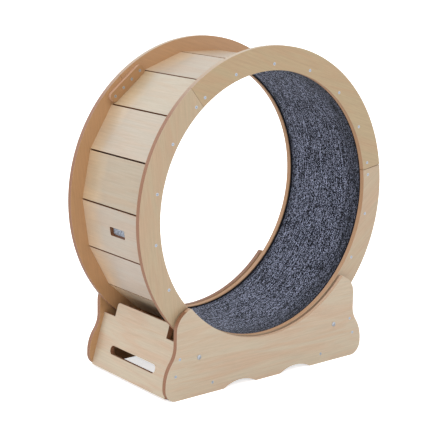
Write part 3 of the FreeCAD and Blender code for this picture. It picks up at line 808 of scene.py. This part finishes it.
def add_section():
    """A flat face, as high and wide as the carpet's section, just past the butt joint."""
    turn = BUTT_JOINT + GAP_TURN / 2
    spot = AXLE + Vector((math.cos(turn), 0, math.sin(turn))) * CARPET_MIDDLE
    bpy.ops.object.select_all(action="DESELECT")
    bpy.ops.mesh.primitive_plane_add(size=1, location=spot, rotation=(0, -turn, 0))
    section = bpy.context.object
    section.name = "carpet_lining"
    section.scale = (CARPET_THICK, CARPET_WIDTH, 1)
    bpy.ops.object.transform_apply(location=True, rotation=True, scale=True)
    return section


carpet = add_section()
bpy.ops.object.mode_set(mode="EDIT")
bpy.ops.mesh.select_mode(type="VERT")
pick(carpet, lambda vertex: from_axle(vertex.co) < CARPET_MIDDLE)
bpy.ops.mesh.bevel(affect="VERTICES", offset=RIM_ROUND, segments=RIM_STEPS, profile=0.5)
bpy.ops.mesh.select_mode(type="EDGE")
corners = carpet.data.vertices
pick(carpet, lambda edge: all(from_axle(corners[i].co) < ON_PILE for i in edge.vertices), "edges")
bpy.ops.mesh.subdivide(number_cuts=TUFT_STEPS)
bpy.ops.object.mode_set(mode="OBJECT")
print("section:", len(carpet.data.vertices), "points")

# %% Spin the strip and close its ends
RUN_STEPS = 620
take(carpet)
bpy.ops.object.mode_set(mode="EDIT")
bpy.ops.mesh.select_all(action="SELECT")
bpy.ops.mesh.delete(type="ONLY_FACE")
bpy.ops.mesh.select_all(action="SELECT")
bpy.ops.mesh.spin(steps=RUN_STEPS, angle=2 * math.pi - GAP_TURN, center=AXLE, axis=-ACROSS)
bpy.ops.mesh.select_all(action="SELECT")
bpy.ops.mesh.fill_holes(sides=0)
bpy.ops.mesh.select_all(action="SELECT")
bpy.ops.mesh.normals_make_consistent(inside=False)
bpy.ops.object.mode_set(mode="OBJECT")
print("strip:", len(carpet.data.polygons), "faces")

# %% Press the pile, lay its map
TUFT_SIZE = 5 * MM
TUFT_DETAIL = 2
PILE_DEPTH = 0.7 * MM
CARPET_MAP = "carpet_map"


def press_pile(piece):
    pile = piece.vertex_groups.new(name="pile")
    high = [v.index for v in piece.data.vertices if from_axle(v.co) < ON_PILE]
    pile.add(high, 1.0, "REPLACE")
    lumps = bpy.data.textures.new("tufts", "CLOUDS")
    lumps.noise_scale = TUFT_SIZE
    lumps.noise_depth = TUFT_DETAIL
    take(piece)
    bpy.ops.object.modifier_add(type="DISPLACE")
    press = piece.modifiers[-1]
    press.texture = lumps
    press.strength = PILE_DEPTH
    press.mid_level = 1.0
    press.vertex_group = pile.name
    bpy.ops.object.modifier_apply(modifier=press.name)
    piece.vertex_groups.clear()
    bpy.ops.object.shade_smooth_by_angle(angle=SMOOTH)


def lay_carpet_map(piece):
    """For each point: metres along the run from the joint, across it, and above the back."""
    layer = piece.data.attributes.new(CARPET_MAP, "FLOAT_VECTOR", "POINT")
    longest = 0.0
    for vertex in piece.data.vertices:
        turn = math.atan2(vertex.co.z - AXLE.z, vertex.co.x - AXLE.x) - BUTT_JOINT
        run = (turn % (2 * math.pi)) * PILE_RADIUS
        layer.data[vertex.index].vector = (run, vertex.co.y, BACK_RADIUS - from_axle(vertex.co))
        longest = max(longest, run)
    return longest


press_pile(carpet)
print("run length", round(lay_carpet_map(carpet), 3), "m")

# %% [markdown]
# ## Melange pile
# The pile is a melange of dark, slate and pale yarns, punched into short loops that stand
# in rows along the run, never quite straight. Voronoi cells a little longer than wide
# are such loops: each cell has one random shade, and less than full randomness keeps the
# rows. A second, turned set shows between them, and a slow noise bends both. The
# distance to the middle of the cell gives each loop its round back.

# %% Shader group: strands
def turned(tree, place, degrees, size):
    """A place on the strip, turned by some degrees and measured in strands."""
    inputs = {"Vector": place, "Rotation": (0, 0, math.radians(degrees)), "Scale": (1, 1, 1)}
    moved = wire(tree, "Mapping", inputs, vector_type="TEXTURE").outputs[0]
    return vector(tree, "MULTIPLY", moved, size)


# Two sets of loops and one of fine hairs: each set's turn, cells per metre, randomness.
LOOP_SETS = ((3, (340, 520, 0), 0.9), (-16, (430, 640, 0), 1.0), (50, (700, 1200, 0), 1.0))
ROWS = ((11, 210, 0), 1.0, 0.0)
ROW_SWING = 0.12
BEND_SCALE = 60.0
BEND_REACH = 5 * MM
ROUND_REACH = 0.7
SECOND_SET_LOWER = 0.8
HAIR_SHARE = 0.1


def strands():
    tree, given, out = new_group(
        "strands",
        [("Place", "Vector", (0, 0, 0))],
        [("Shade", "Float"), ("Height", "Float")],
    )
    bend = noise(tree, given["Place"], BEND_SCALE, 1.0)["Color"]
    bend = scaled(tree, vector(tree, "SUBTRACT", bend, (0.5, 0.5, 0.5)), BEND_REACH)
    place = vector(tree, "ADD", given["Place"], bend)
    rows = stretched_noise(tree, place, *ROWS)
    shades, heights = [], []
    for degrees, size, random_share in LOOP_SETS:
        moved = turned(tree, place, degrees, size)
        inputs = {"Vector": moved, "Scale": 1.0, "Randomness": random_share}
        cells = wire(tree, "TexVoronoi", inputs, voronoi_dimensions="2D")
        shades.append(split(tree, cells.outputs["Color"])[0])
        heights.append(span(tree, cells.outputs["Distance"], 0.0, ROUND_REACH, 1.0, 0.0))
    lowered = calc(tree, "MULTIPLY", heights[1], SECOND_SET_LOWER)
    over = calc(tree, "GREATER_THAN", lowered, heights[0])
    second = calc(tree, "MULTIPLY", over, shades[1])
    first = calc(tree, "MULTIPLY", calc(tree, "SUBTRACT", 1.0, over), shades[0])
    loops = calc(tree, "MULTIPLY", calc(tree, "ADD", second, first), 1.0 - HAIR_SHARE)
    shade = calc(tree, "ADD", loops, calc(tree, "MULTIPLY", shades[2], HAIR_SHARE))
    shade = calc(tree, "ADD", shade, span(tree, rows, *MOST_NOISE, -ROW_SWING, ROW_SWING))
    tree.links.new(shade, out.inputs["Shade"])
    tree.links.new(calc(tree, "MAXIMUM", heights[0], heights[1]), out.inputs["Height"])
    return tree


STRANDS = strands()
print("group:", STRANDS.name)

# %% Carpet finish
# Painted shade: the pile darkens towards both rims, under the lips of the rings, further in at the
# front.
RIM_SHADE = 24 * MM
FRONT_RIM_SHADE = 85 * MM
RIB_PITCH = 9 * MM
BACKING = 1.2 * MM
# The shades from which a yarn is slate, and those from which it is pale.
SLATE_YARN = (0.32, 0.64)
PALE_YARN = (0.71, 0.80)
SCRIM_YARN = (0.1, 0.45)
# Painted shade: each loop darkens towards its foot, where the loops meet.
VALLEY_SHADE = (0.2, 0.8, 0.55, 1.0)
RIB_SHADE = (0.86, 1.08)
RIM_SHARE, FRONT_RIM_SHARE = 0.85, 0.6
YARN_ROUGHNESS = (0.95, 0.8)
YARN_SPECULAR = 0.15


def carpet_finish():
    material, tree, shader = new_finish("melange carpet")
    place = carried(tree, CARPET_MAP)
    _, across, above = split(tree, place)
    strand = use_group(tree, STRANDS, {"Place": place})
    slate = span(tree, strand["Shade"], *SLATE_YARN)
    pile = mix(tree, slate, colour(4, 4, 8), colour(30, 32, 48))
    pile = mix(tree, span(tree, strand["Shade"], *PALE_YARN), pile, colour(212, 219, 250))
    wave = calc(tree, "SINE", calc(tree, "MULTIPLY", across, 2 * math.pi / RIB_PITCH))
    rib = span(tree, wave, -1.0, 1.0, *RIB_SHADE)
    # Painted shade between the loops.
    pile = scaled(tree, pile, calc(tree, "MULTIPLY", span(tree, strand["Height"], *VALLEY_SHADE), rib))
    half = CARPET_WIDTH / 2
    # Painted shade along both rims, reaching further in along the front one.
    rims = span(tree, calc(tree, "ABSOLUTE", across), half - RIM_SHADE, half, 0.0, RIM_SHARE)
    front = span(tree, across, RIM_SHADE - half, FRONT_RIM_SHADE - half, FRONT_RIM_SHARE, 0.0)
    pile = mix(tree, calc(tree, "MAXIMUM", rims, front), pile, colour(14, 14, 22))
    weave = span(tree, strand["Shade"], *SCRIM_YARN)
    scrim = mix(tree, weave, colour(96, 104, 126), colour(196, 206, 220))
    wool = mix(tree, calc(tree, "LESS_THAN", above, BACKING), pile, scrim)
    tree.links.new(wool, shader.inputs["Base Color"])
    rough = span(tree, strand["Shade"], 0.0, 1.0, *YARN_ROUGHNESS)
    tree.links.new(rough, shader.inputs["Roughness"])
    emboss(tree, shader, strand["Height"], 1.6 * MM, 0.6)
    shader.inputs["Specular IOR Level"].default_value = YARN_SPECULAR
    shader.inputs["Sheen Weight"].default_value = 0.14
    shader.inputs["Sheen Roughness"].default_value = 0.45
    shader.inputs["Sheen Tint"].default_value = (0.84, 0.9, 1.0, 1)
    return material


carpet.data.materials.append(carpet_finish())
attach(carpet, "wheel")
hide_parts("carpet_track")
print("carpet:", len(carpet.data.polygons), "faces")

# %% [markdown]
# ## A black band along the carpet's rims
# Along both rims runs a black band, a little higher than the pile. It is a flat oval,
# spun all round. Without it the lip of the ring would show as a bright line where the
# real track shows a black one.

# %% Spin one black band per rim
BAND_WIDTH = 6.4 * MM
BAND_HEIGHT = 6.0 * MM
BAND_RISE = 2.3 * MM
BAND_STEPS = 300
BAND_FACETS = 12
FLECK_SCALE = 900.0
FLECK_RANGE = (0.35, 0.7)


def black_band_finish():
    material, tree, shader = new_finish("black binding")
    fleck = noise(tree, wire(tree, "TexCoord").outputs["Object"], FLECK_SCALE, 2.0)[0]
    black = mix(tree, span(tree, fleck, *FLECK_RANGE), colour(8, 8, 12), colour(34, 34, 44))
    tree.links.new(black, shader.inputs["Base Color"])
    rough = span(tree, fleck, *MOST_NOISE, *YARN_ROUGHNESS)
    tree.links.new(rough, shader.inputs["Roughness"])
    emboss(tree, shader, fleck, 0.5 * MM, 0.6)
    shader.inputs["Specular IOR Level"].default_value = YARN_SPECULAR
    return material


BLACK = black_band_finish()


def spin_round(steps, centre):
    """Spins the active outline once round a line along Y and welds the seam."""
    bpy.ops.object.mode_set(mode="EDIT")
    bpy.ops.mesh.select_all(action="SELECT")
    bpy.ops.mesh.spin(steps=steps, angle=2 * math.pi, center=centre, axis=ACROSS)
    bpy.ops.mesh.select_all(action="SELECT")
    bpy.ops.mesh.remove_doubles(threshold=WELD)
    bpy.ops.mesh.normals_make_consistent(inside=False)
    bpy.ops.object.mode_set(mode="OBJECT")


def spin_black_band(name, side):
    radius = PILE_RADIUS - BAND_RISE + BAND_HEIGHT / 2
    spot = AXLE + Vector((radius, side * (CARPET_WIDTH - BAND_WIDTH) / 2, 0))
    bpy.ops.object.select_all(action="DESELECT")
    bpy.ops.mesh.primitive_circle_add(
        vertices=BAND_FACETS, radius=0.5, fill_type="NOTHING", location=spot
    )
    band = bpy.context.object
    band.name = name
    band.scale = (BAND_HEIGHT, BAND_WIDTH, 1)
    bpy.ops.object.transform_apply(location=True, rotation=True, scale=True)
    spin_round(BAND_STEPS, AXLE)
    bpy.ops.object.shade_smooth()
    band.data.materials.append(BLACK)
    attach(band, "wheel")
    return band


black_bands = [spin_black_band("carpet_binding_front", -1), spin_black_band("carpet_binding_rear", 1)]

# %% [markdown]
# ## Small metal
# Metal this small shows as bright dots, but each dot has a shape: a flat countersunk head
# with a cross recess. Zinc plating is pale and slightly blue. It is never one even tone,
# so a fine mottle moves its colour and its roughness. The same mottle, in other
# strengths, serves the rubber and the nylon of the rollers.

# %% Shader group: mottle
FINER = 9.0


def mottle():
    tree, given, out = new_group(
        "mottle",
        [("Size", "Float", 300.0)],
        [("Cloud", "Float"), ("Grit", "Float")],
    )
    place = wire(tree, "TexCoord").outputs["Object"]
    clouds = noise(tree, place, given["Size"], 3.0)[0]
    grit = noise(tree, place, calc(tree, "MULTIPLY", given["Size"], FINER), 2.0)[0]
    tree.links.new(span(tree, clouds, *MOST_NOISE), out.inputs["Cloud"])
    tree.links.new(span(tree, grit, *MOST_NOISE), out.inputs["Grit"])
    return tree


MOTTLE = mottle()
print("group:", MOTTLE.name)

# %% Finishes of the small parts
def mottled(name, size, tones, rough, relief, metal=0.0):
    """One material for metal, rubber or plastic: two tones, two roughnesses, fine grit."""
    material, tree, shader = new_finish(name)
    spots = use_group(tree, MOTTLE, {"Size": size})
    tree.links.new(mix(tree, spots["Cloud"], *tones), shader.inputs["Base Color"])
    tree.links.new(span(tree, spots["Cloud"], 0.0, 1.0, *rough), shader.inputs["Roughness"])
    emboss(tree, shader, spots["Grit"], relief, 0.5)
    shader.inputs["Metallic"].default_value = metal
    return material


ZINC_TONES = (colour(176, 186, 200), colour(214, 222, 232))
STEEL_TONES = (colour(170, 176, 184), colour(208, 212, 218))
GROUND_TONES = (colour(186, 188, 192), colour(214, 216, 220))
RUBBER_TONES = (colour(34, 34, 36), colour(48, 48, 50))
NYLON_TONES = (colour(218, 214, 202), colour(232, 229, 219))
ZINC = mottled("zinc plate", 420, ZINC_TONES, (0.34, 0.22), 0.04 * MM, 1.0)
STEEL = mottled("bolt steel", 300, STEEL_TONES, (0.38, 0.26), 0.04 * MM, 1.0)
GROUND = mottled("ground steel", 500, GROUND_TONES, (0.26, 0.18), 0.03 * MM, 1.0)
RUBBER = mottled("black rubber", 160, RUBBER_TONES, (0.72, 0.56), 0.2 * MM)
NYLON = mottled("natural nylon", 90, NYLON_TONES, (0.46, 0.36), 0.08 * MM)
print("finishes:", ZINC.name, STEEL.name, GROUND.name, RUBBER.name, NYLON.name)

# %% [markdown]
# ## Screws
# One screw is drawn per kind and copied to every place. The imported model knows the
# places: each group of screws is one node of separate bodies, so a copy that is welded
# and split by loose parts gives one body per screw, and its wide end is the head.

# %% Find each screw
AT_THE_END = 0.98


def loose_bodies(node):
    """The corners of each separate body in a node, measured on a copy that is deleted."""
    whole = copy_of(node, node + "_measure")
    take(whole)
    bpy.ops.mesh.separate(type="LOOSE")
    pieces = bpy.context.selected_objects
    bodies = [[vertex.co.copy() for vertex in piece.data.vertices] for piece in pieces]
    bpy.ops.object.delete()
    return sorted(bodies, key=lambda body: [round(c, 5) for c in sum(body, Vector()) / len(body)])


def read_screw(corners):
    """The head's middle, the way it faces along Y, its radius, and the screw's length."""
    middle = Vector((0, 0, 0))
    for axis in range(3):
        values = [corner[axis] for corner in corners]
        middle[axis] = (min(values) + max(values)) / 2
    half = max(abs(corner.y - middle.y) for corner in corners)
    wide = {}
    for facing in (-1, 1):
        end = [c for c in corners if (c.y - middle.y) * facing > half * AT_THE_END]
        wide[facing] = max(math.hypot(c.x - middle.x, c.z - middle.z) for c in end)
    facing = max(wide, key=wide.get)
    return middle + ACROSS * half * facing, facing, wide[facing], 2 * half


print("ring screw:", read_screw(loose_bodies("ring_screws_front")[0]))

# %% Model one screw
HEAD_FACETS = 20
LAND = 0.25 * MM
CURVED = math.radians(35)
# In shares of the head's radius: the recess's length, its width and its depth.
WING, WING_WIDTH, RECESS_DEPTH = 1.15, 0.24, 0.5
RECESS_FLOOR = 0.45
# In shares of the shank's radius: the room for the tip, and its length.
TIP_ROOM, TIP_LENGTH = 2.0, 1.8
TIP_END = 0.25


def draw_out(distance, share):
    """Extrudes what is selected down the screw and scales it."""
    bpy.ops.mesh.extrude_region_move(TRANSFORM_OT_translate={"value": (0, 0, -distance)})
    bpy.ops.transform.resize(value=(share, share, 1))


def wing_cutter(turn, head):
    """A flat wedge, narrower below, that cuts one of the two crossed slots."""
    bpy.ops.mesh.primitive_cube_add(size=1, location=(0, 0, 0), rotation=(0, 0, turn))
    cutter = bpy.context.object
    cutter.scale = (head * WING, head * WING_WIDTH, head * RECESS_DEPTH * 2)
    bpy.ops.object.transform_apply(location=True, rotation=True, scale=True)
    bpy.ops.object.mode_set(mode="EDIT")
    pick(cutter, lambda vertex: vertex.co.z < 0)
    bpy.ops.transform.resize(value=(RECESS_FLOOR, RECESS_FLOOR, 1))
    bpy.ops.object.mode_set(mode="OBJECT")
    return cutter


def model_screw(name, head, shank, length):
    bpy.ops.object.select_all(action="DESELECT")
    bpy.ops.mesh.primitive_circle_add(vertices=HEAD_FACETS, radius=head, fill_type="NGON")
    screw = bpy.context.object
    screw.name = name
    bpy.ops.object.mode_set(mode="EDIT")
    bpy.ops.mesh.select_all(action="SELECT")
    draw_out(LAND, 1.0)
    draw_out(head - shank, shank / head)
    draw_out(length - LAND - (head - shank) - shank * TIP_ROOM, 1.0)
    draw_out(shank * TIP_LENGTH, TIP_END)
    bpy.ops.mesh.select_all(action="SELECT")
    bpy.ops.mesh.normals_make_consistent(inside=False)
    bpy.ops.object.mode_set(mode="OBJECT")
    for turn in (0, math.pi / 2):
        cutter = wing_cutter(turn, head)
        take(screw)
        bpy.ops.object.modifier_add(type="BOOLEAN")
        screw.modifiers[-1].operation = "DIFFERENCE"
        screw.modifiers[-1].object = cutter
        bpy.ops.object.modifier_apply(modifier=screw.modifiers[-1].name)
        bpy.data.objects.remove(cutter)
    bpy.ops.object.shade_smooth_by_angle(angle=CURVED)
    screw.data.materials.append(ZINC)
    return screw


print("a head has", HEAD_FACETS, "facets and a land of", LAND, "m")

# %% Copy it to every place
SHANK = 2 * MM


def place_screws(node):
    places = [read_screw(corners) for corners in loose_bodies(node)]
    pattern = model_screw(node + "_pattern", places[0][2], SHANK, places[0][3])
    copies = []
    for middle, facing, *_ in places:
        piece = bpy.data.objects.new(node + "_zinc", pattern.data.copy())
        scene.collection.objects.link(piece)
        upright = Matrix.Rotation(-facing * math.pi / 2, 4, "X")
        turn = Matrix.Rotation(luck.uniform(0, math.pi / 2), 4, "Z")
        piece.data.transform(Matrix.Translation(middle) @ upright @ turn)
        copies.append(piece)
    bpy.data.objects.remove(pattern)
    take(copies[0])
    for piece in copies:
        piece.select_set(True)
    bpy.ops.object.join()
    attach(copies[0], body_of[node])
    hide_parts(node)
    print(node, len(places), "screws,", len(copies[0].data.polygons), "faces")


for node in nodes_with("zinc_screw"):
    place_screws(node)

# %% [markdown]
# ## Ball bearings
# Each roller turns on a small sealed bearing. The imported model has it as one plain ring.
# A real one is three things side by side: an outer ring, an inner ring, and a shield set
# a little back between them. One half section with those steps, spun about the roller's
# axis, is enough, because the shield hides the balls.

# %% Spin one bearing per roller
BEARING_STEPS = 48
RING_WALL = 2.6 * MM
INNER_WALL = 1.8 * MM
SHIELD_BACK = 0.5 * MM


def spin_bearing(node):
    low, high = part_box(node)
    centre = (low + high) / 2
    outer = (high.x - low.x) / 2
    packed = [vertex.co - centre for vertex in frame["nodes"][node].data.vertices]
    inner = min(math.hypot(spot.x, spot.z) for spot in packed)
    half = (high.y - low.y) / 2
    steps = [
        (inner, half), (inner + INNER_WALL, half), (inner + INNER_WALL, half - SHIELD_BACK),
        (outer - RING_WALL, half - SHIELD_BACK), (outer - RING_WALL, half), (outer, half),
    ]
    section = steps + [(radius, -side) for radius, side in reversed(steps)]
    bpy.ops.object.select_all(action="DESELECT")
    bpy.ops.mesh.primitive_circle_add(vertices=len(section), radius=outer, fill_type="NOTHING")
    bearing = bpy.context.object
    bearing.name = node + "_sealed"
    for vertex, (radius, side) in zip(bearing.data.vertices, section):
        vertex.co = centre + Vector((radius, side, 0))
    spin_round(BEARING_STEPS, centre)
    bpy.ops.object.shade_smooth_by_angle(angle=CURVED)
    bearing.data.materials.append(GROUND)
    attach(bearing, body_of[node])
    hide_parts(node)
    return len(bearing.data.polygons)


for node in nodes_with("bearing_steel"):
    print(node, spin_bearing(node), "faces")

# %% [markdown]
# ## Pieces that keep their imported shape
# Bolts, spacers, nuts, hubs and tyres are turned or moulded parts whose real shape the
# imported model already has. They only need their finish.

# %% Finish the kept pieces
KEPT = {"bolt_steel": STEEL, "roller_rubber": RUBBER, "hub_nylon": NYLON}
for node in nodes_with(*KEPT):
    for place in frame["nodes"][node].material_slots:
        place.material = KEPT[slot_of[node]]
    print(node, "gets", KEPT[slot_of[node]].name)
